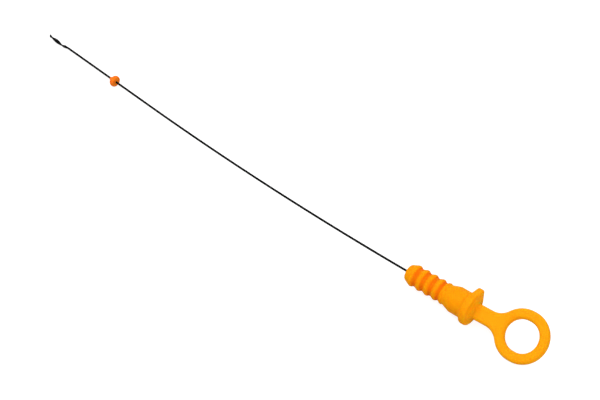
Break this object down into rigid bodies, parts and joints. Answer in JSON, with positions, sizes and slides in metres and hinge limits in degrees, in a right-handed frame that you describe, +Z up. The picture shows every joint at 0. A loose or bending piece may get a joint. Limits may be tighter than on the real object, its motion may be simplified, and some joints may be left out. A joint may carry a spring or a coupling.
{
  "type": "engine oil dipstick",
  "caption": "Engine oil dipstick with a finger-ring handle, a barbed sealing plug, a long bowed wire with a guide bead and a kinked, twisted measuring tip.",
  "frame": {"origin": "middle of the lying part's box, on the surface it rests on", "axes": "+X along the handle from the tip to the finger ring, +Z up, the wire bows towards +Y"},
  "size_m": [0.5017, 0.0412, 0.0298],
  "materials": {
    "handle_plastic": "satin, moulded",
    "black_steel": "black, half matt",
    "bead_plastic": "satin, moulded"
  },
  "bodies": {
    "root": {"handle": "handle_plastic", "wire": "black_steel", "guide_bead": "bead_plastic"}
  },
  "joints": []
}
